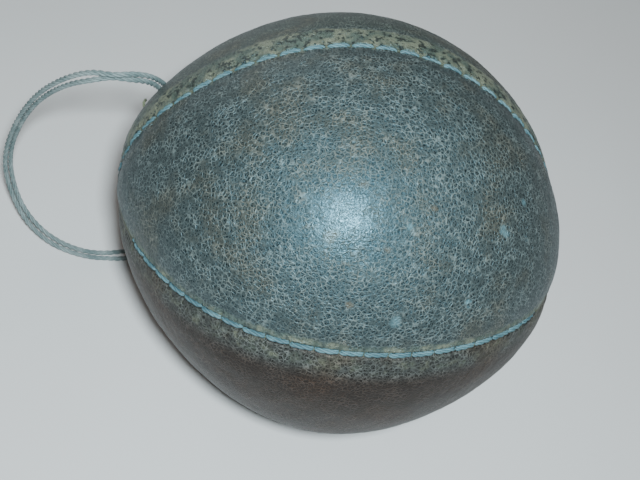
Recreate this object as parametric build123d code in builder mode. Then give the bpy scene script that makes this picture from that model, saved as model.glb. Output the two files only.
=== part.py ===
"""A hand-sewn leather medicine ball with a hanging loop of its own sewing twine.

Four leather gores run from pole to pole. They are sewn edge to edge with long stitches of
waxed twine that lie in a groove along each seam. Canvas backs the leather, hair packing fills
the ball out, and a bag of sand in the middle gives the weight.

Millimetres. +X runs from pole to pole, +Z is up, and the origin is the middle of the flat on
which the ball rests. An azimuth is an angle about the long axis, from -Y up towards +Z.
"""
from build123d import *
from math import cos, degrees, pi, radians, sin, sqrt, tan
import os

os.makedirs("parts", exist_ok=True)

# --- Driving dimensions ---------------------------------------------------------------------
BALL_RADIUS = 100.0     # from the middle to the skin, half way between the poles
POLE_REACH = 105.0      # from the middle to either pole
PRESSED = 2.0           # how far the underside is pressed in where the ball rests
LEATHER = 3.0
CANVAS = 0.8
CLEARANCE = 0.1         # between layers that lie on each other, and round a thread in its hole

TWINE = 2.6             # diameter of the sewing twine, and of the loop
TWINE_SUNK = 0.7        # the stitches' middle line below the skin
STITCHES = 29           # on each seam
STITCH_GAP = 0.8        # between the ends of two stitches
NEEDLE_HOLE = 2.0       # diameter
SEWN_FROM = 7.0         # degrees along the seam from the pole line to the first stitch
STITCH_END = 0.3        # radius of the flat left at each rounded end of a stitch

SEAMS = {"front": 23.0, "top": 105.0, "back": 198.0, "bottom": 290.0}     # azimuths
GORES = {
    "front_upper": ("front", "top"),
    "back_upper": ("top", "back"),
    "back_lower": ("back", "bottom"),
    "front_lower": ("bottom", "front"),
}

POLE_HOLE = 3.2         # diameter, where the four tips meet and the thread ends pass through
POLE_KNOT = 6.0
POLE_KNOT_IN = 0.2      # how far a pole knot reaches up into the pole hole
POLE_PLUG_SUNK = 0.4    # the thread ends below the pole
LOOP_SEAM = "back"      # the loop comes out of this seam, in place of one stitch
LOOP_STITCH = 3         # counted from the -X pole
LOOP_HOLE = 5.6
LOOP_SHANK = 5.2
LOOP_KNOT = 8.0
KNOT_STANDS = 3.0       # the loop knot's middle above the skin
STOP_KNOT = 9.0
WASHER = 24.0
WASHER_THICK = 2.0
WASHER_DROP = 0.7       # the flat washer stands off the canvas's curve

BAG_RADIUS = 45.0       # the sand bag
BAG_CANVAS = 1.0
NECK_FLARE = 2.0        # where the neck spreads into the bag
NECK_RADIUS = 8.0       # its gathered neck
NECK_HEIGHT = 16.0
MOUTH_RADIUS = 12.0
TIE = 2.0               # diameter of the cord round the neck
TIE_ABOVE = 5.0         # the cord's middle above the bag's ball
SLACK = 0.5             # in the packing, round the neck, the washer and the knots

# --- Worked out from them -------------------------------------------------------------------
CENTRE = Vector(0, 0, BALL_RADIUS - PRESSED)
LONG_AXIS = Axis(CENTRE, (-1, 0, 0))
# The outline between the poles is one arc, whose middle lies beyond the long axis.
ARC_DROP = (POLE_REACH**2 - BALL_RADIUS**2) / (2 * BALL_RADIUS)
ARC_RADIUS = BALL_RADIUS + ARC_DROP
STITCH_LINE = ARC_RADIUS - TWINE_SUNK
SEWN_ARC = 180 - 2 * SEWN_FROM
PITCH = SEWN_ARC / STITCHES
STITCH_ARC = PITCH - degrees(STITCH_GAP / STITCH_LINE)
LINING_DEPTH = LEATHER + CLEARANCE
PACKING_DEPTH = LINING_DEPTH + CANVAS + CLEARANCE
CUTTER_REACH = 3 * POLE_REACH       # longer than the ball is wide
CUT_PAST = 1.0          # how far a cutter goes past each side of what it cuts
RUN_SHARE = 0.45        # of the shorter run beside a corner, for the corner's arc

# The loop's two strands, each from the knot up round the outside and back along the ground.
# The points are corners, and each corner is rounded with the largest arc that its runs allow.
OUTER_STRAND = [
    (-97.5, 46.5, 87.0), (-98.5, 53.0, 91.0), (-95.5, 59.5, 98.5), (-92.0, 59.5, 108.5),
    (-92.0, 50.0, 119.0), (-95.5, 43.5, 131.0), (-101.0, 38.5, 139.5), (-108.5, 34.0, 144.0),
    (-116.5, 31.5, 144.0), (-126.5, 33.5, 142.0), (-139.0, 36.5, 131.0), (-154.0, 43.0, 108.0),
    (-167.0, 47.0, 77.0), (-175.5, 46.5, 43.0), (-171.5, 38.5, 23.0), (-160.5, 26.5, 11.0),
    (-145.5, 18.5, 5.0), (-128.0, 15.5, 2.0), (-114.0, 16.5, 1.5), (-101.0, 18.5, 2.0),
    (-94.5, 25.5, 9.5), (-94.5, 35.5, 24.0), (-98.0, 42.5, 42.0), (-101.5, 46.0, 61.0),
    (-98.0, 44.0, 79.0),
]
INNER_STRAND = [
    (-101.4, 43.6, 84.8), (-102.5, 50.0, 88.5), (-99.0, 56.5, 97.5), (-95.5, 56.5, 107.0),
    (-94.0, 48.5, 117.0), (-97.5, 42.0, 129.5), (-102.5, 37.0, 137.0), (-109.0, 33.5, 140.5),
    (-117.0, 33.0, 141.0), (-125.5, 32.0, 138.0), (-138.3, 36.0, 126.8), (-152.0, 43.4, 104.7),
    (-163.7, 48.4, 78.2), (-172.7, 49.0, 46.1), (-170.3, 41.9, 24.1), (-161.0, 30.8, 12.6),
    (-145.7, 21.5, 6.4), (-128.5, 17.6, 4.0), (-115.5, 18.7, 3.3), (-100.3, 23.1, 3.8),
    (-97.1, 29.5, 12.4), (-97.3, 38.1, 25.3), (-101.0, 45.5, 42.5), (-104.5, 48.0, 60.0),
    (-100.8, 45.3, 80.5),
]


def outwards(azimuth):
    """The direction square to the long axis at this azimuth."""
    return Vector(0, -cos(radians(azimuth)), sin(radians(azimuth)))


def meridian(azimuth):
    """The half-plane of one meridian: x along the long axis, y outwards, origin in the middle."""
    out = outwards(azimuth)
    return Plane(origin=CENTRE, x_dir=(1, 0, 0), z_dir=Vector(1, 0, 0).cross(out))


def seam_place(azimuth, along):
    """A place on a seam's arc, `along` degrees from the +X pole line: x outwards, y along."""
    plane = meridian(azimuth)
    plane = Plane(plane.from_local_coords((0, -ARC_DROP, 0)), plane.x_dir, plane.z_dir)
    return plane.location * Location((0, 0, 0), (0, 0, along))


def save(part, label):
    """Labels a finished piece and writes its node."""
    part.label = label
    export_step(part, f"parts/{label}.step")


def filled(depth, start=0.0, end=360.0):
    """The ball inside the surface `depth` below its skin, from one azimuth to another.

    It is turned in stretches that stop at every quarter turn, so that the surface has an edge
    along its foremost, highest, rearmost and lowest meridians.
    """
    radius = ARC_RADIUS - depth
    reach = sqrt(radius**2 - ARC_DROP**2)
    stops = [start, *(quarter for quarter in range(0, 720, 90) if start < quarter < end), end]
    with BuildPart() as body:
        for stop, next_stop in zip(stops, stops[1:]):
            with BuildSketch(meridian(stop)):
                with BuildLine():
                    ThreePointArc((-reach, 0), (0, radius - ARC_DROP), (reach, 0))
                    Line((reach, 0), (-reach, 0))
                make_face()
            revolve(axis=LONG_AXIS, revolution_arc=next_stop - stop, clean=False)
        with BuildSketch(Plane.XY.offset(depth)):
            Rectangle(CUTTER_REACH, CUTTER_REACH)
        extrude(amount=-BALL_RADIUS, mode=Mode.SUBTRACT, clean=False)
    return body.part


# --- Cutters --------------------------------------------------------------------------------
# The groove of one seam and one needle hole, on an arc about the origin.
with BuildPart() as groove:
    with BuildSketch(Plane.XZ):
        with Locations((STITCH_LINE, 0)):
            Circle(TWINE / 2 + CLEARANCE)
    revolve(axis=Axis.Z, revolution_arc=SEWN_ARC)

with BuildPart() as needle_hole:
    with Locations(Location((ARC_RADIUS - LEATHER / 2, 0, 0), (0, 90, 0))):
        Cylinder(NEEDLE_HOLE / 2, LEATHER + 2 * CLEARANCE)

LEG_ANGLE = degrees((NEEDLE_HOLE / 2) / STITCH_LINE)
seam_cutters = {}
for seam, azimuth in SEAMS.items():
    with BuildPart() as cutter:
        with Locations(seam_place(azimuth, SEWN_FROM)):
            add(groove.part)
        with Locations(*[
            seam_place(azimuth, SEWN_FROM + LEG_ANGLE + PITCH * i) for i in range(STITCHES)
        ]):
            add(needle_hole.part)
    seam_cutters[seam] = cutter.part

# The loop leaves the ball in the middle of the stitch that it replaces.
LOOP_ALONG = 180 - SEWN_FROM - PITCH * (LOOP_STITCH + 0.5)
LOOP_PLACE = seam_place(SEAMS[LOOP_SEAM], LOOP_ALONG)


def on_loop_line(depth):
    """A place on the loop's own line, `depth` below the skin, with +Z pointing outwards."""
    return LOOP_PLACE * Location((ARC_RADIUS - depth, 0, 0), (0, 90, 0))


with BuildPart() as holes:
    with Locations(Location(CENTRE, (0, 90, 0))):
        Cylinder(POLE_HOLE / 2, CUTTER_REACH)
    with Locations(on_loop_line(PACKING_DEPTH / 2)):
        Cylinder(LOOP_HOLE / 2, PACKING_DEPTH + 2 * CUT_PAST)

# --- Leather and canvas ---------------------------------------------------------------------
inside_leather = filled(LEATHER)
inside_canvas = filled(LINING_DEPTH + CANVAS)
for gore, (first, last) in GORES.items():
    start = SEAMS[first]
    end = SEAMS[last] if SEAMS[last] > start else SEAMS[last] + 360
    with BuildPart() as leather:
        add(filled(0.0, start, end), clean=False)
        for cutter in (inside_leather, seam_cutters[first], seam_cutters[last], holes.part):
            add(cutter, mode=Mode.SUBTRACT, clean=False)
    save(leather.part, f"gore_{gore}")
    with BuildPart() as canvas:
        add(filled(LINING_DEPTH, start, end), clean=False)
        for cutter in (inside_canvas, holes.part):
            add(cutter, mode=Mode.SUBTRACT, clean=False)
    save(canvas.part, f"lining_{gore}")

# --- Stitches -------------------------------------------------------------------------------
LEG_RADIUS = NEEDLE_HOLE / 2 - CLEARANCE
with BuildPart() as stitch:
    with BuildSketch(Plane.XZ):
        with Locations((STITCH_LINE, 0)):
            Circle(TWINE / 2)
    revolve(axis=Axis.Z, revolution_arc=STITCH_ARC)
    fillet(stitch.edges().filter_by(GeomType.CIRCLE), TWINE / 2 - STITCH_END)
    leg_at = radians(LEG_ANGLE)
    leg_foot = ARC_RADIUS - LEATHER
    leg_middle = (STITCH_LINE + leg_foot) / 2
    with Locations(Location(
        (leg_middle * cos(leg_at), leg_middle * sin(leg_at), 0), (0, 90, degrees(leg_at))
    )):
        Cylinder(LEG_RADIUS, STITCH_LINE - leg_foot)

for seam, azimuth in SEAMS.items():
    places = [
        seam_place(azimuth, SEWN_FROM + PITCH * i)
        for i in range(STITCHES)
        if seam != LOOP_SEAM or i != STITCHES - 1 - LOOP_STITCH
    ]
    with BuildPart() as thread:
        with Locations(*places):
            add(stitch.part)
    save(thread.part, f"seam_thread_{seam}")

# --- Pole knots -----------------------------------------------------------------------------
POLE_PLUG = PACKING_DEPTH - POLE_PLUG_SUNK
POLE_KNOT_AT = POLE_REACH - PACKING_DEPTH - POLE_KNOT / 2 + POLE_KNOT_IN
for side, sign in (("left", -1), ("right", 1)):
    with BuildPart() as knot:
        plug_middle = POLE_REACH - POLE_PLUG_SUNK - POLE_PLUG / 2
        with Locations(Location(CENTRE + Vector(sign * plug_middle, 0, 0), (0, 90, 0))):
            Cylinder(POLE_HOLE / 2 - CLEARANCE, POLE_PLUG)
        with Locations(CENTRE + Vector(sign * POLE_KNOT_AT, 0, 0)):
            Sphere(POLE_KNOT / 2)
    save(knot.part, f"pole_knot_{side}")

# --- The loop and what holds it -------------------------------------------------------------
SHANK_FOOT = PACKING_DEPTH + WASHER_THICK
with BuildPart() as loop_knot:
    with Locations(on_loop_line(-KNOT_STANDS)):
        Sphere(LOOP_KNOT / 2)
    with Locations(on_loop_line((SHANK_FOOT - KNOT_STANDS) / 2)):
        Cylinder(LOOP_SHANK / 2, SHANK_FOOT + KNOT_STANDS)
save(loop_knot.part, "loop_knot")

with BuildPart() as washer:
    with Locations(on_loop_line(PACKING_DEPTH + WASHER_DROP + WASHER_THICK / 2)):
        Cylinder(WASHER / 2, WASHER_THICK)
        Hole(LOOP_HOLE / 2)
save(washer.part, "loop_washer")

with BuildPart() as stop_knot:
    with Locations(on_loop_line(SHANK_FOOT + CLEARANCE + STOP_KNOT / 2)):
        Sphere(STOP_KNOT / 2)
save(stop_knot.part, "loop_stop_knot")


def corner_radii(points):
    """The arc at each corner of a route that takes up its share of the shorter run."""
    radii = []
    for before, here, after in zip(points, points[1:], points[2:]):
        run_in, run_out = Vector(here) - Vector(before), Vector(after) - Vector(here)
        half_turn = radians(run_in.get_angle(run_out)) / 2
        radii.append(RUN_SHARE * min(run_in.length, run_out.length) / tan(half_turn))
    return radii


for name, points in (("outer", OUTER_STRAND), ("inner", INNER_STRAND)):
    radii = corner_radii(points)
    with BuildPart() as strand:
        with BuildLine() as route:
            FilletPolyline(*points, radius=radii)
        centre_line = route.wire()
        with BuildSketch(Plane(origin=centre_line @ 0, z_dir=centre_line % 0)):
            Circle(TWINE / 2)
        sweep(path=centre_line)
    save(strand.part, f"loop_strand_{name}")
    ideal = centre_line.length * pi * (TWINE / 2) ** 2
    print(f"{name} strand: {centre_line.length:.1f} mm long, arcs "
          f"{', '.join(f'{radius:.0f}' for radius in radii)} mm, "
          f"volume {strand.part.volume:.0f} of {ideal:.0f} mm3")

# --- Core: sand bag, neck tie and packing ---------------------------------------------------
TIE_HEIGHT = BAG_RADIUS + TIE_ABOVE
with BuildPart() as bag:
    Sphere(BAG_RADIUS)
    with BuildSketch(Plane.XZ):
        with BuildLine():
            Polyline(
                (0, BAG_RADIUS - NECK_FLARE),
                (NECK_RADIUS + NECK_FLARE, BAG_RADIUS - NECK_FLARE),
                (NECK_RADIUS - TIE / 2, TIE_HEIGHT - TIE),
                (NECK_RADIUS - TIE / 2, TIE_HEIGHT + TIE),
                (MOUTH_RADIUS, BAG_RADIUS + NECK_HEIGHT),
                (0, BAG_RADIUS + NECK_HEIGHT),
                close=True,
            )
        make_face()
    revolve(axis=Axis.Z)
    Sphere(BAG_RADIUS - BAG_CANVAS, mode=Mode.SUBTRACT)

for half, keep in (("upper", Keep.TOP), ("lower", Keep.BOTTOM)):
    with BuildPart() as panel:
        with Locations(CENTRE):
            add(bag.part)
        split(bisect_by=Plane.XY.offset(CENTRE.Z), keep=keep)
    save(panel.part, f"sand_bag_{half}")

with BuildPart() as tie:
    with Locations(CENTRE + Vector(0, 0, TIE_HEIGHT)):
        Torus(NECK_RADIUS + CLEARANCE, TIE / 2)
save(tie.part, "sand_bag_tie")

with BuildPart() as sand:
    with Locations(CENTRE):
        Sphere(BAG_RADIUS - BAG_CANVAS - CLEARANCE)
save(sand.part, "sand_fill")

with BuildPart() as core_space:
    with Locations(CENTRE):
        Sphere(BAG_RADIUS + CLEARANCE)
    neck_space = NECK_FLARE + NECK_HEIGHT + SLACK
    with Locations(CENTRE + Vector(0, 0, BAG_RADIUS - NECK_FLARE + neck_space / 2)):
        Cylinder(MOUTH_RADIUS + SLACK, neck_space)
    with Locations(on_loop_line(PACKING_DEPTH + STOP_KNOT / 2 + WASHER_THICK)):
        Cylinder(WASHER / 2 + SLACK, STOP_KNOT + 2 * WASHER_THICK)
    for sign in (-1, 1):
        with Locations(CENTRE + Vector(sign * POLE_KNOT_AT, 0, 0)):
            Sphere(POLE_KNOT / 2 + SLACK)

for half, start, end in (("upper", 0.0, 180.0), ("lower", 180.0, 360.0)):
    with BuildPart() as packing:
        add(filled(PACKING_DEPTH, start, end), clean=False)
        add(core_space.part, mode=Mode.SUBTRACT, clean=False)
    save(packing.part, f"packing_{half}")
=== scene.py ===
"""The looks of a hand-sewn leather medicine ball with a hanging loop of its sewing twine.

Metres, in the frame of the CAD model: +X from pole to pole, +Z up, the origin in the middle of
the flat on which the ball rests. An azimuth is an angle about the long axis, from -Y up
towards +Z, and `along` is an angle along a seam, from the +X pole to the -X pole.
"""

from math import acos, asin, cos, pi, radians, sin, sqrt

import bpy
import numpy as np
from mathutils import Matrix, Vector, noise


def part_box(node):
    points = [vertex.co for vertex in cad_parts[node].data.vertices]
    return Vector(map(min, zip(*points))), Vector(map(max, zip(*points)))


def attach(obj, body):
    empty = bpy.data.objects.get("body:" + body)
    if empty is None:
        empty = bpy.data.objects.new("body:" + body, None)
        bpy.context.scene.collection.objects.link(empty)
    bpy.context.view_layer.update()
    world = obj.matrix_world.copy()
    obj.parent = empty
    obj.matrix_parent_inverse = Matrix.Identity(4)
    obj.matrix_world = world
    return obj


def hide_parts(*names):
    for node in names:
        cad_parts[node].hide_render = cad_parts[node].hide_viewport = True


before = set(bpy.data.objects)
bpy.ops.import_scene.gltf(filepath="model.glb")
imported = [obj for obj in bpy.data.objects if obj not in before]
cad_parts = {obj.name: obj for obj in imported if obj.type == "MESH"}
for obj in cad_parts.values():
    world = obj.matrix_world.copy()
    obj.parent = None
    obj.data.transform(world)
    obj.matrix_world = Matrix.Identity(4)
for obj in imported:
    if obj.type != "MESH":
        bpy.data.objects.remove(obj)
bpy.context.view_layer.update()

# --- Driving dimensions ---------------------------------------------------------------------
MM = 0.001
GORE_SEAMS = {
    "front_upper": ("front", "top"),
    "back_upper": ("top", "back"),
    "back_lower": ("back", "bottom"),
    "front_lower": ("bottom", "front"),
}
gore_boxes = [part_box(f"gore_{gore}") for gore in GORE_SEAMS]
LOW = Vector(min(low[i] for low, high in gore_boxes) for i in range(3))
HIGH = Vector(max(high[i] for low, high in gore_boxes) for i in range(3))
BALL_RADIUS = (HIGH.y - LOW.y) / 2
POLE_REACH = HIGH.x
CENTRE = np.array([0, 0, HIGH.z - BALL_RADIUS])
ARC_DROP = (POLE_REACH**2 - BALL_RADIUS**2) / (2 * BALL_RADIUS)
ARC_RADIUS = BALL_RADIUS + ARC_DROP
TIP = asin(ARC_DROP / ARC_RADIUS) + radians(0.9)     # `along` at a gore's tip

# A seam's azimuth in the middle, how much it leans from pole to pole, and how much it bows.
SEAMS = {
    "front": (23.9, 2.9, 0.5),
    "top": (104.8, 1.5, 2.3),
    "back": (198.0, -1.0, 1.0),
    "bottom": (290.0, 1.5, -1.0),
}
STITCHES = 29
SEWN_FROM = radians(7.0)
PITCH = (pi - 2 * SEWN_FROM) / STITCHES
PITCH_MM = PITCH * ARC_RADIUS / MM
TWINE = 2.6 * MM
STITCH_TWINE = 2.2 * MM         # pulled tight in the seams
TWINE_SUNK = 0.4 * MM
LOOP_STITCH = 3         # the stitch that the loop replaces, counted from the -X pole

# How much leather closes over the thread at a needle hole, in millimetres from the hole.
BRIDGES = {"front": 0.3, "top": 2.0, "back": 0.6, "bottom": 0.4}
# The first and last place where the thread shows, in stitches from the +X end. Nearer the poles
# the leather has closed over it.
SHOWN = {"front": (5.0, 26.0), "top": (4.0, 28.6), "back": (3.0, 27.0), "bottom": (3.0, 27.0)}

# The loop's two strands: the control points of part.py, in metres.
OUTER_STRAND = [
    (-0.0975, 0.0465, 0.0870), (-0.0985, 0.0530, 0.0910), (-0.0955, 0.0595, 0.0985),
    (-0.0920, 0.0595, 0.1085), (-0.0920, 0.0500, 0.1190), (-0.0955, 0.0435, 0.1310),
    (-0.1010, 0.0385, 0.1395), (-0.1085, 0.0340, 0.1440), (-0.1165, 0.0315, 0.1440),
    (-0.1265, 0.0335, 0.1420), (-0.1390, 0.0365, 0.1310), (-0.1540, 0.0430, 0.1080),
    (-0.1670, 0.0470, 0.0770), (-0.1755, 0.0465, 0.0430), (-0.1715, 0.0385, 0.0230),
    (-0.1605, 0.0265, 0.0110), (-0.1455, 0.0185, 0.0050), (-0.1280, 0.0155, 0.0020),
    (-0.1140, 0.0165, 0.0015), (-0.1010, 0.0185, 0.0020), (-0.0945, 0.0255, 0.0095),
    (-0.0945, 0.0355, 0.0240), (-0.0980, 0.0425, 0.0420), (-0.1015, 0.0460, 0.0610),
    (-0.0980, 0.0440, 0.0790),
]
INNER_STRAND = [
    (-0.1014, 0.0436, 0.0848), (-0.1025, 0.0500, 0.0885), (-0.0990, 0.0565, 0.0975),
    (-0.0955, 0.0565, 0.1070), (-0.0940, 0.0485, 0.1170), (-0.0975, 0.0420, 0.1295),
    (-0.1025, 0.0370, 0.1370), (-0.1090, 0.0335, 0.1405), (-0.1170, 0.0330, 0.1410),
    (-0.1255, 0.0320, 0.1380), (-0.1383, 0.0360, 0.1268), (-0.1520, 0.0434, 0.1047),
    (-0.1637, 0.0484, 0.0782), (-0.1727, 0.0490, 0.0461), (-0.1703, 0.0419, 0.0241),
    (-0.1610, 0.0308, 0.0126), (-0.1457, 0.0215, 0.0064), (-0.1285, 0.0176, 0.0040),
    (-0.1155, 0.0187, 0.0033), (-0.1003, 0.0231, 0.0038), (-0.0971, 0.0295, 0.0124),
    (-0.0973, 0.0381, 0.0253), (-0.1010, 0.0455, 0.0425), (-0.1045, 0.0480, 0.0600),
    (-0.1008, 0.0453, 0.0805),
]


# --- Camera ---------------------------------------------------------------------------------
VIEW_AZIMUTH = radians(-14.8)       # of the camera, from -Y towards -X
VIEW_ELEVATION = radians(57.0)
VIEW_ROLL = radians(20.5)
VIEW_DISTANCE = 5 * BALL_RADIUS
BALL_RIGHT = 9.3 * MM               # the ball's middle from the middle of the view
BALL_ABOVE = 8.9 * MM
LENS = 56.9


def view_axes():
    """The camera's right, up and back directions."""
    back = Vector((
        sin(VIEW_AZIMUTH) * cos(VIEW_ELEVATION),
        -cos(VIEW_AZIMUTH) * cos(VIEW_ELEVATION),
        sin(VIEW_ELEVATION),
    ))
    level = Vector((0, 0, 1)).cross(back).normalized()
    right = cos(VIEW_ROLL) * level + sin(VIEW_ROLL) * back.cross(level)
    return right, back.cross(right), back


def make_camera():
    right, up, back = view_axes()
    camera = bpy.data.objects.new("camera", bpy.data.cameras.new("camera"))
    bpy.context.scene.collection.objects.link(camera)
    place = Vector(CENTRE) + VIEW_DISTANCE * back - BALL_RIGHT * right - BALL_ABOVE * up
    camera.matrix_world = Matrix.Translation(place) @ Matrix((right, up, back)).transposed().to_4x4()
    camera.data.lens = LENS
    camera.data.clip_start = 0.01
    bpy.context.scene.camera = camera


make_camera()


# --- Meshes ---------------------------------------------------------------------------------
def add_mesh(name, vertices, faces, smooth=True):
    """A mesh object in the scene."""
    mesh = bpy.data.meshes.new(name)
    mesh.from_pydata([tuple(map(float, v)) for v in vertices], [], faces)
    mesh.polygons.foreach_set("use_smooth", [smooth] * len(mesh.polygons))
    mesh.update()
    piece = bpy.data.objects.new(name, mesh)
    bpy.context.scene.collection.objects.link(piece)
    return piece


def grid_faces(rows, columns, start=0, flip=False, wrap=False):
    """The quads between rows of vertices, which are numbered from `start` row by row."""
    i, j = np.meshgrid(np.arange(rows - 1), np.arange(columns if wrap else columns - 1), indexing="ij")
    i, j = i.ravel(), j.ravel()
    k = (j + 1) % columns
    quads = np.stack([i * columns + j, i * columns + k, (i + 1) * columns + k, (i + 1) * columns + j], 1)
    if flip:
        quads = quads[:, ::-1]
    return (quads + start).tolist()


def unit(vectors):
    return vectors / np.linalg.norm(vectors, axis=-1, keepdims=True)


def frames_along(points):
    """The direction of travel and two square directions at each point, with the least twist."""
    travel = unit(np.gradient(points, axis=0))
    side = np.zeros_like(points)
    helper = np.array([0, 0, 1.0]) if abs(travel[0][2]) < 0.9 else np.array([1.0, 0, 0])
    side[0] = unit(np.cross(travel[0], helper))
    for i in range(1, len(points)):
        carried = side[i - 1] - travel[i] * (side[i - 1] @ travel[i])
        side[i] = unit(carried)
    return travel, side, np.cross(travel, side)


def distances_along(points):
    steps = np.linalg.norm(np.diff(points, axis=0), axis=1)
    return np.concatenate([[0], np.cumsum(steps)])


def tube(points, radii, around=8):
    """The vertices and faces of a closed tube along the points."""
    points = np.asarray(points, float)
    travel, side, up = frames_along(points)
    turn = 2 * pi * np.arange(around) / around
    ring = np.cos(turn)[None, :, None] * side[:, None] + np.sin(turn)[None, :, None] * up[:, None]
    radii = np.broadcast_to(radii, len(points))
    vertices = (points[:, None] + ring * radii[:, None, None]).reshape(-1, 3)
    faces = grid_faces(len(points), around, wrap=True)
    faces.append(list(range(around))[::-1])
    faces.append([(len(points) - 1) * around + i for i in range(around)])
    return vertices, faces


PLIES = 3
PLY_SHARE = 1 / (1 + 2 / sqrt(3))       # a ply's radius over the twine's
LAY = 11 * MM                           # one full turn of the plies


def plied(points, diameter=TWINE, start_turn=0.0, tapered=False):
    """The vertices and faces of twine laid up from three plies along the points."""
    points = np.asarray(points, float)
    travel, side, up = frames_along(points)
    gone = distances_along(points)
    ply = diameter / 2 * PLY_SHARE
    swell = np.ones(len(points))
    if tapered:
        swell = 0.88 + 0.12 * np.sin(np.linspace(0, pi, len(points)))
    vertices, faces = [], []
    for i in range(PLIES):
        turn = start_turn + 2 * pi * (i / PLIES + gone / LAY)
        offset = np.cos(turn)[:, None] * side + np.sin(turn)[:, None] * up
        middle = points + offset * (diameter / 2 - ply) * swell[:, None]
        new_vertices, new_faces = tube(middle, ply * 1.12 * swell)
        base = sum(len(v) for v in vertices)
        faces += [[base + k for k in face] for face in new_faces]
        vertices.append(new_vertices)
    return np.concatenate(vertices), faces


def joined(parts):
    """Several (vertices, faces) as one."""
    vertices, faces, base = [], [], 0
    for new_vertices, new_faces in parts:
        faces += [[base + k for k in face] for face in new_faces]
        vertices.append(new_vertices)
        base += len(new_vertices)
    return np.concatenate(vertices), faces


# --- Loop strands ---------------------------------------------------------------------------
def route(name, control_points):
    """Points along the NURBS spline with these control points."""
    curve = bpy.data.curves.new(name, "CURVE")
    curve.dimensions = "3D"
    curve.resolution_u = 16
    spline = curve.splines.new("NURBS")
    spline.points.add(len(control_points) - 1)
    for point, place in zip(spline.points, control_points):
        point.co = (*place, 1)
    spline.order_u = 3
    spline.use_endpoint_u = True
    holder = bpy.data.objects.new(name, curve)
    line = bpy.data.meshes.new_from_object(holder)
    points = np.array([v.co for v in line.vertices])
    bpy.data.objects.remove(holder)
    bpy.data.curves.remove(curve)
    bpy.data.meshes.remove(line)
    return points


strand_routes = {
    "outer": route("outer_route", OUTER_STRAND),
    "inner": route("inner_route", INNER_STRAND),
}
strands = {}
for strand, points in strand_routes.items():
    strands[strand] = add_mesh(f"loop_strand_{strand}_twine", *plied(points, start_turn=len(strand)))

# --- The skin -------------------------------------------------------------------------------
# Where the old ball stands proud of its plain outline or falls short of it: the direction from
# the middle, the height in millimetres, and the width in degrees.
LUMPS = [
    ((-0.95, 0.14, 0.22), 5.6, 22),
    ((0.91, -0.42, 0.08), 3.4, 26),
    ((-0.70, -0.66, -0.28), -3.0, 26),
    ((0.20, -0.78, -0.58), 2.4, 24),
]
# The relief of the gores and their seams, in millimetres.
PILLOW = 1.3            # how far a gore swells between its seams
PILLOW_EDGE = 8.0       # how far from a seam it has mostly swelled
GROOVE_DEPTH = 1.9
GROOVE_HALF = 1.1       # half the groove's width, beyond the closed seam's own
CLOSED_HALF = 0.35
LIP = 0.25              # the ridge beside the groove
PULLED = 0.55           # how far a needle hole pulls the leather down
SCALLOP = 0.15          # the wave from stitch to stitch
PUCKER = 0.14
PUCKER_STEP = 2.3       # from one pucker to the next
TIP_FADE = 26.0         # the seams' relief fades over this distance from the long axis
FOOT_ROUNDING = 0.5 * MM


def smooth(low, high, x):
    t = np.clip((x - low) / (high - low), 0, 1)
    return t * t * (3 - 2 * t)


def seam_azimuth(seam, along):
    middle, lean, bow = SEAMS[seam]
    return np.radians(middle + lean * np.cos(along) + bow * (2 * np.sin(along) ** 2 - 1))


def axis_distance(along):
    """How far the outline is from the long axis."""
    return ARC_RADIUS * np.sin(along) - ARC_DROP


def outline(along, azimuth, height=0.0):
    """Places on the plain outline or above it, before the lumps and the foot."""
    along, azimuth = np.broadcast_arrays(along, azimuth)
    out = np.stack([0 * azimuth, -np.cos(azimuth), np.sin(azimuth)], -1)
    long_way = np.stack([np.cos(along), 0 * along, 0 * along], -1)
    normal = long_way + np.sin(along)[..., None] * out
    reach = np.broadcast_to(ARC_RADIUS + height, along.shape)[..., None]
    return CENTRE - ARC_DROP * out + reach * normal, normal


def on_skin(along, azimuth, height=0.0):
    """Places on the old ball's skin or above it."""
    places, normal = outline(along, azimuth, height)
    direction = unit(places - CENTRE)
    for towards, rise, width in LUMPS:
        apart = np.degrees(np.arccos(np.clip(direction @ unit(np.array(towards)), -1, 1)))
        places = places + normal * (rise * MM * np.exp(-(apart / width) ** 2))[..., None]
    z = places[..., 2]
    places[..., 2] = (z + np.sqrt(z * z + FOOT_ROUNDING**2)) / 2
    return places


def stitch_phase(along):
    """How many stitches lie between a place and the first needle hole."""
    return (along - SEWN_FROM) / PITCH


def shown(along, seam):
    """1 where the seam's thread shows and 0 where the leather has closed over it."""
    first, last = SHOWN[seam]
    phase = stitch_phase(along)
    return smooth(first - 0.6, first + 0.1, phase) * (1 - smooth(last - 0.1, last + 0.6, phase))


def openness(along, seam):
    """0 at a needle hole, where the leather closes over the thread, and 1 between the holes."""
    phase = stitch_phase(along)
    from_hole = np.abs(phase - np.round(phase)) * PITCH_MM
    opened = smooth(BRIDGES[seam] * 0.85, BRIDGES[seam] + 0.4, from_hole)
    sewn = smooth(-0.1, 0.15, phase) * smooth(-0.1, 0.15, STITCHES - phase)
    return opened * sewn * shown(along, seam)


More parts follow.
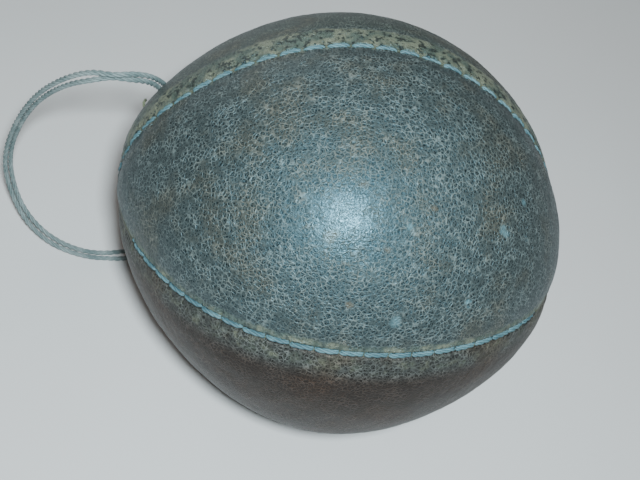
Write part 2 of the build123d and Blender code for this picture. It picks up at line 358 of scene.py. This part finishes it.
def seam_relief(distance, along, seam, side):
    """The height of the leather beside a seam, in millimetres, `distance` millimetres from it."""
    opened = openness(along, seam)
    half = CLOSED_HALF + GROOVE_HALF * opened
    groove = -GROOVE_DEPTH * (0.12 + 0.88 * opened) * np.exp(-(distance / half) ** 4)
    lip = LIP * (0.25 + 0.75 * opened) * np.exp(-(((distance - half - 0.9) / 1.1) ** 2))
    pulled = -PULLED * (1 - opened) * np.exp(-(((distance - 1.6) / 2.2) ** 2))
    wave = np.cos(2 * pi * stitch_phase(along) + pi)
    scallop = SCALLOP * wave * np.exp(-(((distance - 3.6) / 2.6) ** 2))
    ripple = np.sin(2 * pi * along * ARC_RADIUS / MM / PUCKER_STEP + 2.1 * np.sin(37 * along + 5 * side))
    pucker = PUCKER * ripple * np.exp(-(((distance - 3.4) / 2.2) ** 2))
    return groove + lip + pulled + scallop + pucker


def skin_noise(places):
    """The old leather's unevenness, broad and fine, and its creases, in millimetres."""
    broad = np.array([noise.noise(Vector(p) * 22) for p in places])
    middle = np.array([noise.noise(Vector(p) * 75 + Vector((7, 3, 1))) for p in places])
    creases = np.array([noise.noise(Vector(p) * 210 + Vector((2, 9, 4))) for p in places])
    return 0.55 * broad + 0.26 * middle + 0.13 * (1 - 2 * np.abs(creases))


ROWS = 620
EDGE_COLUMNS = 34
EDGE_ZONE = 0.085       # the share of a gore's width beside each seam that gets the edge columns
MIDDLE_COLUMNS = 60
INNER_COLUMNS = 8
LEATHER = 3 * MM


def gore_grid(first, last):
    """A gore's grid of `along` and azimuths, and each place's distance from its two seams."""
    along = np.linspace(TIP, pi - TIP, ROWS)[:, None]
    edge = np.linspace(0, EDGE_ZONE, EDGE_COLUMNS, endpoint=False)
    middle = np.linspace(EDGE_ZONE, 1 - EDGE_ZONE, MIDDLE_COLUMNS)
    across = np.concatenate([edge, middle, 1 - edge[::-1]])[None, :]
    start = seam_azimuth(first, along)
    end = seam_azimuth(last, along)
    end = end + 2 * pi * (end < start)
    azimuth = start + (end - start) * across
    along = np.broadcast_to(along, azimuth.shape)
    from_first = axis_distance(along) * (azimuth - start) / MM
    from_last = axis_distance(along) * (end - azimuth) / MM
    return along, azimuth, from_first, from_last


def gore_outside(along, azimuth, from_first, from_last, first, last):
    """The places on the outside of a gore, with its swell, its seams' relief and its unevenness."""
    nearest = np.minimum(from_first, from_last)
    fade = smooth(0, TIP_FADE, axis_distance(along) / MM)
    relief = np.where(
        from_first < from_last,
        seam_relief(from_first, along, first, 0),
        seam_relief(from_last, along, last, 1),
    )
    pillow = PILLOW * fade * (1 - np.exp(-(nearest / PILLOW_EDGE) ** 2))
    plain = on_skin(along, azimuth)
    uneven = skin_noise(plain.reshape(-1, 3)).reshape(nearest.shape) * smooth(0.5, 6, nearest)
    height = (pillow + relief * smooth(0, 0.45, fade) + uneven) * MM
    return on_skin(along, azimuth, height)


def shell_faces(rows, outer, inner):
    """The faces that join an outer grid, `outer` wide, and an inner one, `inner` wide, all round."""
    base = rows * outer
    faces = grid_faces(rows, outer, flip=True) + grid_faces(rows, inner, start=base)
    for outer_column, inner_column, turned in ((0, 0, False), (outer - 1, inner - 1, True)):
        for row in range(rows - 1):
            quad = [
                row * outer + outer_column,
                base + row * inner + inner_column,
                base + (row + 1) * inner + inner_column,
                (row + 1) * outer + outer_column,
            ]
            faces.append(quad[::-1] if turned else quad)
    last_outer = (rows - 1) * outer
    last_inner = base + (rows - 1) * inner
    near_end = [*range(outer), *reversed(range(base, base + inner))]
    far_end = [*range(last_outer, last_outer + outer), *reversed(range(last_inner, last_inner + inner))]
    return faces + [near_end, far_end[::-1]]


def make_gore(gore, first, last):
    """One closed gore, with what the leather's material needs to know at each vertex."""
    along, azimuth, from_first, from_last = gore_grid(first, last)
    outside = gore_outside(along, azimuth, from_first, from_last, first, last)
    share = np.linspace(0, 1, INNER_COLUMNS)
    inside_azimuth = azimuth[:, :1] + (azimuth[:, -1:] - azimuth[:, :1]) * share
    inside = on_skin(along[:, :1], inside_azimuth, -LEATHER)
    vertices = np.concatenate([outside.reshape(-1, 3), inside.reshape(-1, 3)])
    piece = add_mesh(f"gore_{gore}_leather", vertices, shell_faces(*azimuth.shape, INNER_COLUMNS))
    nearest = np.minimum(from_first, from_last)
    opened = np.where(from_first < from_last, openness(along, first), openness(along, last))
    set_attribute(piece, "worn", worn_band(gore, from_first, from_last))
    set_attribute(piece, "fray", np.exp(-(nearest / 1.6) ** 2) * (1 - 0.75 * opened))
    # Painted shade: how open the groove beside the thread is, which the material paints near black as
    # its shadow.
    set_attribute(piece, "groove_shade", np.exp(-(nearest / 1.7) ** 4) * opened)
    return piece


def set_attribute(piece, name, outside_values):
    """A value at each vertex: these on the outside, and 0 on the inside."""
    values = np.zeros(len(piece.data.vertices), np.float32)
    values[:outside_values.size] = outside_values.ravel()
    attribute = piece.data.attributes.new(name, "FLOAT", "POINT")
    attribute.data.foreach_set("value", values)


# How wide the worn band is beside each seam, in millimetres, and how far it is worn.
WORN = {
    ("back_upper", "top"): (15.0, 1.0),
    ("front_upper", "top"): (4.0, 0.45),
    ("front_upper", "front"): (7.0, 0.6),
    ("front_lower", "front"): (14.0, 0.42),
}
WORN_ELSEWHERE = (6.0, 0.55)


def worn_band(gore, from_first, from_last):
    """How far the leather is worn, from 0 to 1, by its distance from the gore's two seams."""
    first, last = GORE_SEAMS[gore]
    worn = 0
    for seam, distance in ((first, from_first), (last, from_last)):
        width, strength = WORN.get((gore, seam), WORN_ELSEWHERE)
        worn = np.maximum(worn, strength * (1 - smooth(0.55 * width, 1.25 * width, distance)))
    return worn


gores = {gore: make_gore(gore, *seams) for gore, seams in GORE_SEAMS.items()}

# --- Stitches -------------------------------------------------------------------------------
STITCH_POINTS = 26
STEEPNESS = 14          # how suddenly a stitch turns down at its ends
DIVE = 3.0 * MM         # into the needle holes
BURIED = 2.4 * MM       # where the leather has closed over it


def stitch_line(seam, index, rng):
    """The line of one long stitch, from one needle hole to the next."""
    share = np.linspace(0, 1, STITCH_POINTS)
    inset = (0.15 + 0.25 * BRIDGES[seam]) / PITCH_MM
    along = SEWN_FROM + PITCH * (index + inset + (1 - 2 * inset) * share)
    steep = np.abs(2 * share - 1) ** STEEPNESS
    height = -TWINE_SUNK - DIVE * steep + 0.12 * MM * rng.normal()
    height = height - BURIED * (1 - shown(along, seam))
    drift = (0.30 * (0.5 - share) + 0.12 * rng.normal()) * MM
    azimuth = seam_azimuth(seam, along) + drift / axis_distance(along)
    return on_skin(along, azimuth, height)


def seam_thread(seam):
    rng = np.random.default_rng(len(seam))
    stitches = [
        plied(stitch_line(seam, index, rng), STITCH_TWINE, rng.uniform(0, 6), tapered=True)
        for index in range(STITCHES)
        if seam != "back" or index != STITCHES - 1 - LOOP_STITCH
    ]
    return add_mesh(f"seam_thread_{seam}_twine", *joined(stitches))


threads = {seam: seam_thread(seam) for seam in SEAMS}

# --- Knots ----------------------------------------------------------------------------------
LOOP_ALONG = pi - SEWN_FROM - PITCH * (LOOP_STITCH + 0.5)


def knot_line(place, normal, size, height):
    """An overhand knot's line about a place, lying square to the normal."""
    normal = unit(np.array(normal))
    side = unit(np.cross(normal, [0.3, 0.2, 1.0]))
    up = np.cross(normal, side)
    t = np.linspace(0.35, 2 * pi - 0.35, 90)
    x = (np.sin(t) + 2 * np.sin(2 * t)) * size
    y = (np.cos(t) - 2 * np.cos(2 * t)) * size
    z = -np.sin(3 * t) * height
    return np.array(place) + x[:, None] * side + y[:, None] * up + z[:, None] * normal


def loop_knot():
    """The knot at the loop's root, and its shank down into the ball."""
    azimuth = seam_azimuth("back", np.array(LOOP_ALONG))
    skin, above = (on_skin(np.array(LOOP_ALONG), azimuth, h) for h in (0.0, 3 * MM))
    normal = unit(above - skin)
    shank = [skin + normal * h * MM for h in np.linspace(-7, 3.5, 14)]
    return add_mesh("loop_knot_twine", *joined([
        plied(knot_line(above, normal, 1.05 * MM, 1.7 * MM), 2.3 * MM),
        plied(shank, 4.6 * MM),
    ]))


def pole_knot(name, sign):
    """The small knot that closes a pole, with the thread's end in the hole."""
    along = np.array(TIP if sign > 0 else pi - TIP)
    ring = [on_skin(along, np.array(a), 0.0) for a in np.linspace(0, 2 * pi, 12, endpoint=False)]
    place = np.mean(ring, 0) - np.array([sign * 1.2 * MM, 0, 0])
    shank = [place - np.array([sign * h * MM, 0, 0]) for h in np.linspace(7, -0.5, 10)]
    return add_mesh(f"pole_knot_{name}_twine", *joined([
        plied(knot_line(place, (sign, 0, 0), 0.62 * MM, 0.9 * MM), 1.5 * MM),
        plied(shank, 2.6 * MM),
    ]))


LOOSE_END_AT = (2.715, radians(139))        # `along` and azimuth
LOOSE_END_TWINE = 1.5 * MM
# How far the loose end has bent over, and its height above the skin in millimetres.
LOOSE_END_BENDS = [(0, -2.0), (0, 0.0), (0.4, 1.6), (1.6, 2.9), (3.2, 3.4)]


def thread_end():
    """The loose end of the sewing thread, which sticks out of the skin near the left pole."""
    along, azimuth = (np.array(value) for value in LOOSE_END_AT)
    points = [
        on_skin(along - 0.01 * bend, azimuth + 0.03 * bend, height * MM)
        for bend, height in LOOSE_END_BENDS
    ]
    return add_mesh("thread_end_twine", *plied(points, LOOSE_END_TWINE))


knot = loop_knot()
pole_knots = {"left": pole_knot("left", -1), "right": pole_knot("right", 1)}
loose_end = thread_end()


# --- Materials ------------------------------------------------------------------------------
class Graph:
    """A material's node graph, built call by call."""

    def __init__(self, name):
        self.material = bpy.data.materials.new(name)
        self.material.use_nodes = True
        self.nodes = self.material.node_tree.nodes
        self.links = self.material.node_tree.links
        self.shader = self.nodes["Principled BSDF"]
        self.place = self.nodes.new("ShaderNodeTexCoord").outputs["Object"]

    def node(self, kind, inputs=None, output=0, **settings):
        node = self.nodes.new(kind)
        for key, value in settings.items():
            setattr(node, key, value)
        for key, value in (inputs or {}).items():
            self.feed(node.inputs[key], value)
        return node.outputs[output]

    def feed(self, socket, value):
        if isinstance(value, bpy.types.NodeSocket):
            self.links.new(value, socket)
        else:
            socket.default_value = value

    def math(self, operation, a, b=0.0, clamp=False):
        return self.node("ShaderNodeMath", {0: a, 1: b}, operation=operation, use_clamp=clamp)

    def noise(self, scale, detail=3.0, roughness=0.55, place=None, output="Factor"):
        node = self.nodes.new("ShaderNodeTexNoise")
        self.feed(node.inputs["Vector"], place or self.place)
        node.inputs["Scale"].default_value = scale
        node.inputs["Detail"].default_value = detail
        node.inputs["Roughness"].default_value = roughness
        return node.outputs["Color"] if output == "Color" else node.outputs[0]

    def between(self, value, low, high, to_low=0.0, to_high=1.0):
        return self.node("ShaderNodeMapRange", {
            "Value": value, "From Min": low, "From Max": high, "To Min": to_low, "To Max": to_high,
        }, interpolation_type="SMOOTHSTEP")

    def mix(self, share, a, b, blend="MIX"):
        node = self.nodes.new("ShaderNodeMix")
        node.data_type = "RGBA"
        node.blend_type = blend
        self.feed(node.inputs[0], share)
        self.feed(node.inputs[6], a if isinstance(a, bpy.types.NodeSocket) else (*a, 1))
        self.feed(node.inputs[7], b if isinstance(b, bpy.types.NodeSocket) else (*b, 1))
        return node.outputs[2]

    def warped(self, scale, amount, place=None):
        """The place, pushed about by noise."""
        push = self.node("ShaderNodeVectorMath", {
            0: self.noise(scale, output="Color", place=place), 1: (0.5, 0.5, 0.5),
        }, operation="SUBTRACT")
        push = self.node("ShaderNodeVectorMath", {0: push, "Scale": amount}, operation="SCALE")
        return self.node("ShaderNodeVectorMath", {0: place or self.place, 1: push}, operation="ADD")

    def cracks(self, scale, place, width):
        """1 on the lines between cells and 0 inside them."""
        edge = self.node("ShaderNodeTexVoronoi", {
            "Vector": place, "Scale": scale, "Randomness": 1.0,
        }, output="Distance", feature="DISTANCE_TO_EDGE")
        return self.between(edge, width * 0.15, width, 1.0, 0.0)

    def attribute(self, name):
        node = self.nodes.new("ShaderNodeAttribute")
        node.attribute_name = name
        return node.outputs["Fac"]

    def apart(self, place, spot):
        """How far a place is from one spot."""
        ends = {0: place, 1: spot}
        return self.node("ShaderNodeVectorMath", ends, output="Value", operation="DISTANCE")

    def mark(self, color, place, spot, reach, paint, strength):
        """The colour with a soft-edged spot of paint on it."""
        share = self.between(self.apart(place, spot), 0.55 * reach, 1.15 * reach, strength, 0.0)
        return self.mix(share, color, paint)

    def bump(self, height, strength, distance, normal=None):
        inputs = {"Height": height, "Strength": strength, "Distance": distance}
        if normal is not None:
            inputs["Normal"] = normal
        return self.node("ShaderNodeBump", inputs)

    def finish(self, color, roughness, normal, **constants):
        self.feed(self.shader.inputs["Base Color"], color if isinstance(
            color, bpy.types.NodeSocket) else (*color, 1))
        self.feed(self.shader.inputs["Roughness"], roughness)
        self.feed(self.shader.inputs["Normal"], normal)
        for key, value in constants.items():
            self.shader.inputs[key.replace("_", " ")].default_value = value
        return self.material


# Scuffs and spots on the front upper gore: x in millimetres and azimuth in degrees, then reach in
# millimetres, colour and strength.
PALE, SKY, BROWN = (0.16, 0.16, 0.13), (0.10, 0.19, 0.21), (0.075, 0.055, 0.032)
MARKS = [
    ((-18, 53), 3.4, BROWN, 0.6),
    ((-16, 54), 2.4, BROWN, 0.5),
    ((44, 41), 2.1, SKY, 0.9),
    ((44.5, 39.5), 1.7, SKY, 0.8),
    ((14, 35), 3.0, SKY, 0.35),
    ((13, 58), 2.0, SKY, 0.5),
    ((55, 61), 2.6, SKY, 0.55),
    ((57, 60), 2.2, SKY, 0.45),
    ((65, 71), 2.4, SKY, 0.5),
    ((-33, 48), 1.4, SKY, 0.4),
    ((-8, 66), 2.2, BROWN, 0.6),
    ((22, 63), 2.0, BROWN, 0.7),
    ((5, 52), 1.9, BROWN, 0.7),
    ((-6, 38), 2.1, BROWN, 0.7),
]
SCRATCH_DOTS = 5
MARKS += [
    ((16 + 8 * share, 57.5 - 2.5 * share), 1.1, PALE, 0.8)
    for share in np.linspace(0, 1, SCRATCH_DOTS)
]
RUBBED_AND_SHEEN_SPOT = (-13.5, 57)        # the middle of the patch that hands have worn smooth, set where the key light's highlight falls; its thinned cracks are partly a painted highlight


def spot_on_skin(spot):
    """The place on the skin at an x in millimetres and an azimuth in degrees."""
    x, azimuth = spot
    along = np.array(acos(x * MM / ARC_RADIUS))
    return tuple(on_skin(along, np.array(radians(azimuth))))


NET, FINE_NET = 540, 1000       # cells of the crack nets to a metre


def crack_net(g, cracked, worn, rubbed_and_sheen):
    """1 on the leather's cracks: a net and a finer one, weaker in places, and thinned in the smooth
    patch where the key light's highlight falls, which is partly a painted highlight.
    """
    net = g.cracks(NET, g.warped(260, 0.0022), 0.17)
    fine_net = g.cracks(FINE_NET, g.warped(600, 0.0012), 0.24)
    broad = g.between(g.noise(150, 5), 0.34, 0.62, 0.42, 1.0)
    close = g.between(g.noise(520, 3, 0.7), 0.38, 0.56, 0.52, 1.0)
    net = g.math("MULTIPLY", net, g.math("MULTIPLY", broad, close))
    lines = g.math("MAXIMUM", net, g.math("MULTIPLY", fine_net, 0.30))
    lines = g.math("MULTIPLY", lines, g.math("ADD", worn, cracked, clamp=True))
    # Painted highlight, in part: the crack lines are thinned in the smooth patch where the key light's
    # highlight falls.
    return g.math("MULTIPLY", lines, g.math("SUBTRACT", 1.0, g.math("MULTIPLY", rubbed_and_sheen, 0.55)))


def cracked_colour(g, lines, shade, worn):
    """Dark leather with pale cracks and brown patches, multiplied by the gore's shade colour except
    where it is worn. On the lower gores that shade colour is partly painted warm glow from the floor
    below.
    """
    grain = g.between(g.noise(800, 4, 0.7), 0.3, 0.7)
    dark = g.mix(grain, (0.001, 0.001, 0.001), (0.009, 0.011, 0.011))
    patches = g.between(g.noise(34, 5, 0.6), 0.46, 0.64)
    pale = g.mix(patches, (0.104, 0.121, 0.113), (0.130, 0.124, 0.098))
    color = g.mix(lines, dark, pale)
    color = g.mix(g.math("MULTIPLY", patches, 0.22), color, (0.034, 0.031, 0.022))
    # The shade colour, which is partly painted floor glow on the lower gores, is left off where the
    # leather is worn.
    shaded = g.math("SUBTRACT", 1.0, g.math("MULTIPLY", worn, 1.6), clamp=True)
    return g.mix(shaded, color, shade, "MULTIPLY")


def worn_to_tan(g, color, worn):
    """The colour, with ragged tan and dark pits where the leather is worn."""
    ragged_edge = g.math("ADD", worn, g.math("MULTIPLY", g.noise(190, 5, 0.7), 0.9))
    bare = g.between(ragged_edge, 0.82, 1.20)
    tone = g.between(g.noise(120, 4), 0.4, 0.6)
    tan = g.mix(tone, (0.152, 0.154, 0.102), (0.064, 0.078, 0.058))
    color = g.mix(g.math("MULTIPLY", bare, 0.8), color, tan)
    pits = g.between(g.noise(380, 3, 0.6), 0.40, 0.49, 1.0, 0.0)
    pitted = g.math("MULTIPLY", g.math("MULTIPLY", pits, bare), 0.9)
    return g.mix(pitted, color, (0.012, 0.012, 0.010))


def seam_edges(g, color):
    """The colour, frayed pale at the seams' needle holes, and painted dark as shade in the open grooves
    beside the thread.
    """
    ragged_edge = g.math("ADD", g.attribute("fray"), g.math("MULTIPLY", g.noise(700, 3), 0.5))
    color = g.mix(g.between(ragged_edge, 0.78, 1.15), color, (0.084, 0.088, 0.054))
    # Painted shade: where the groove beside the thread is open, it is painted near black for the shadow
    # that falls in it.
    return g.mix(g.math("MULTIPLY", g.attribute("groove_shade"), 0.9), color, (0.006, 0.006, 0.006))


def old_leather(name, shade, cracked, marks=(), **shine):
    """Dark leather with a net of fine pale cracks, worn to tan beside the seams."""
    g = Graph(name)
    worn = g.attribute("worn")
    ragged = g.warped(420, 0.0024)
    # The patch worn smooth by hands, set where the key light's highlight falls. Its thinned cracks are
    # partly a painted highlight, and its lower roughness is real polish.
    rubbed_and_sheen = g.between(g.apart(ragged, spot_on_skin(RUBBED_AND_SHEEN_SPOT)), 0.005, 0.024, 1.0, 0.0)
    lines = crack_net(g, cracked, worn, rubbed_and_sheen)
    color = worn_to_tan(g, cracked_colour(g, lines, shade, worn), worn)
    for spot, reach, paint, strength in marks:
        color = g.mark(color, ragged, spot_on_skin(spot), reach * MM, paint, strength)
    color = seam_edges(g, color)
    relief = g.math("ADD", g.math("MULTIPLY", lines, 0.8), g.math("MULTIPLY", g.noise(1300, 3), 0.35))
    normal = g.bump(relief, 0.8, 0.00045)
    polish = g.math("MULTIPLY", rubbed_and_sheen, 0.17)
    roughness = g.math("SUBTRACT", g.between(lines, 0, 1, 0.44, 0.38), polish)
    g.feed(g.shader.inputs["Coat Normal"], normal)
    return g.finish(color, roughness, normal, **shine)


def waxed_twine(name, low, high):
    """Pale blue-grey twine with darker valleys between its fibres."""
    g = Graph(name)
    tone = g.between(g.noise(130, 4), 0.35, 0.65)
    color = g.mix(tone, low, high)
    fibres = g.noise(2600, 2)
    color = g.mix(g.between(fibres, 0.3, 0.5, 0.45, 0.0), color, (0.05, 0.09, 0.095))
    normal = g.bump(fibres, 0.4, 0.00015)
    return g.finish(color, 0.62, normal, Specular_IOR_Level=0.4)


def woven(name, light, dark, threads_per_metre):
    """Plain-woven cloth."""
    g = Graph(name)
    x, y, z = (g.node("ShaderNodeSeparateXYZ", {0: g.place}, output=i) for i in range(3))
    step = 2 * pi * threads_per_metre
    waves = [g.math("SINE", g.math("MULTIPLY", axis, step)) for axis in (x, y, z)]
    weave = g.math("MULTIPLY", g.math("MULTIPLY", waves[0], waves[1]), waves[2])
    tone = g.math("ADD", g.noise(90, 4), g.math("MULTIPLY", weave, 0.3))
    color = g.mix(g.between(tone, 0.2, 0.8), dark, light)
    return g.finish(color, 0.9, g.bump(weave, 0.6, 0.0003))


def mottled(name, light, dark, scale, roughness=0.95):
    """Loose or grainy stuff, such as packing and sand."""
    g = Graph(name)
    grain = g.noise(scale, 5, 0.7)
    color = g.mix(g.between(grain, 0.3, 0.7), dark, light)
    return g.finish(color, roughness, g.bump(grain, 0.8, 0.0008))


BLOOM = {
    "Specular_IOR_Level": 0.50,
    "Specular_Tint": (0.38, 0.82, 1.0, 1.0),
    "Coat_Weight": 0.02,
    "Coat_Roughness": 0.10,
}
# The lower gores' shine, with a warm tint. This warm tint, and the brown shade colours given to the
# lower gores in LEATHERS, are partly leather with less bloom and partly painted warm light reflected up
# from the floor under the ball.
DULL_AND_FLOOR_GLOW = {
    "Specular_IOR_Level": 0.22,
    "Specular_Tint": (1.0, 0.84, 0.74, 1.0),
    "Coat_Weight": 0.0,
}
LEATHERS = {
    "front_upper": old_leather("bloomed leather", (1.0, 1.0, 1.0), 1.0, MARKS, **BLOOM),
    "back_upper": old_leather("worn leather", (1.0, 0.98, 0.86), 1.0, **BLOOM),
    # Lower gores: their brown shade colours are partly painted floor glow.
    "back_lower": old_leather("back lower leather with painted floor glow", (0.76, 0.52, 0.44), 0.6, **DULL_AND_FLOOR_GLOW),
    "front_lower": old_leather("front lower leather with painted floor glow", (0.72, 0.43, 0.36), 0.55, **DULL_AND_FLOOR_GLOW),
}
SEAM_TWINE = waxed_twine("waxed twine", (0.042, 0.090, 0.104), (0.075, 0.145, 0.158))
LOOP_TWINE = waxed_twine("handled twine", (0.105, 0.138, 0.134), (0.190, 0.222, 0.214))
YELLOWED_TWINE = waxed_twine("yellowed twine", (0.10, 0.11, 0.06), (0.17, 0.18, 0.11))
CANVAS = woven("unbleached canvas", (0.55, 0.47, 0.33), (0.36, 0.29, 0.19), 700)
BAG_CANVAS = woven("bag canvas", (0.50, 0.44, 0.32), (0.30, 0.26, 0.18), 900)
HAIR = mottled("hair packing", (0.26, 0.19, 0.12), (0.07, 0.045, 0.03), 420)
SAND = mottled("sand", (0.60, 0.50, 0.35), (0.33, 0.26, 0.17), 1400)
WASHER_LEATHER = mottled("washer leather", (0.27, 0.14, 0.07), (0.16, 0.08, 0.04), 300, 0.55)

# --- What stands for what -------------------------------------------------------------------
for gore, piece in gores.items():
    piece.data.materials.append(LEATHERS[gore])
    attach(piece, "root")
    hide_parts(f"gore_{gore}")

for seam, piece in threads.items():
    piece.data.materials.append(SEAM_TWINE)
    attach(piece, "root")
    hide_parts(f"seam_thread_{seam}")

for side, piece in pole_knots.items():
    piece.data.materials.append(SEAM_TWINE)
    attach(piece, "root")
    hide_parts(f"pole_knot_{side}")

loose_end.data.materials.append(YELLOWED_TWINE)
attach(loose_end, "root")

knot.data.materials.append(LOOP_TWINE)
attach(knot, "root")
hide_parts("loop_knot")

for strand, piece in strands.items():
    piece.data.materials.append(LOOP_TWINE)
    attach(piece, "root")
    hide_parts(f"loop_strand_{strand}")
    points = strand_routes[strand]

INSIDE = {
    "lining_": CANVAS,
    "packing_": HAIR,
    "sand_bag_tie": SEAM_TWINE,
    "sand_bag_": BAG_CANVAS,
    "sand_fill": SAND,
    "loop_washer": WASHER_LEATHER,
    "loop_stop_knot": SEAM_TWINE,
}
for name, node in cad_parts.items():
    for start, material in INSIDE.items():
        if name.startswith(start):
            node.data.materials.clear()
            node.data.materials.append(material)
            break


# --- Floor and lights -----------------------------------------------------------------------
def make_floor():
    reach = 3.0
    corners = [(-reach, -reach, 0), (reach, -reach, 0), (reach, reach, 0), (-reach, reach, 0)]
    floor = add_mesh("floor", corners, [[0, 1, 2, 3]], smooth=False)
    g = Graph("pale floor")
    color = g.mix(g.noise(6, 3), (0.52, 0.49, 0.47), (0.56, 0.53, 0.51))
    floor.data.materials.append(g.finish(color, 0.85, g.bump(g.noise(800, 2), 0.1, 0.0002)))


def area_light(name, place, size, power, color, towards=CENTRE):
    light = bpy.data.lights.new(name, "AREA")
    light.shape = "DISK"
    light.size = size
    light.energy = power
    light.color = color
    lamp = bpy.data.objects.new(name, light)
    lamp.location = place
    lamp.rotation_euler = (Vector(towards) - Vector(place)).to_track_quat("-Z", "Y").to_euler()
    bpy.context.scene.collection.objects.link(lamp)


def make_lights():
    right, up, back = view_axes()
    key = Vector(CENTRE) + 0.62 * back + 0.045 * right + 0.02 * up
    area_light("key", key, 0.07, 11.0, (0.76, 0.92, 1.0))
    area_light("fill", (0.8, 0.3, 1.4), 1.2, 2.0, (1.0, 0.96, 0.92))
    area_light("far_fill", (-0.7, 1.5, 0.6), 1.2, 7.0, (1.0, 0.96, 0.92))
    world = bpy.data.worlds.new("studio")
    bpy.context.scene.world = world
    world.use_nodes = True
    background = world.node_tree.nodes["Background"]
    background.inputs["Color"].default_value = (0.84, 0.83, 0.82, 1)
    background.inputs["Strength"].default_value = 0.13


make_floor()
make_lights()
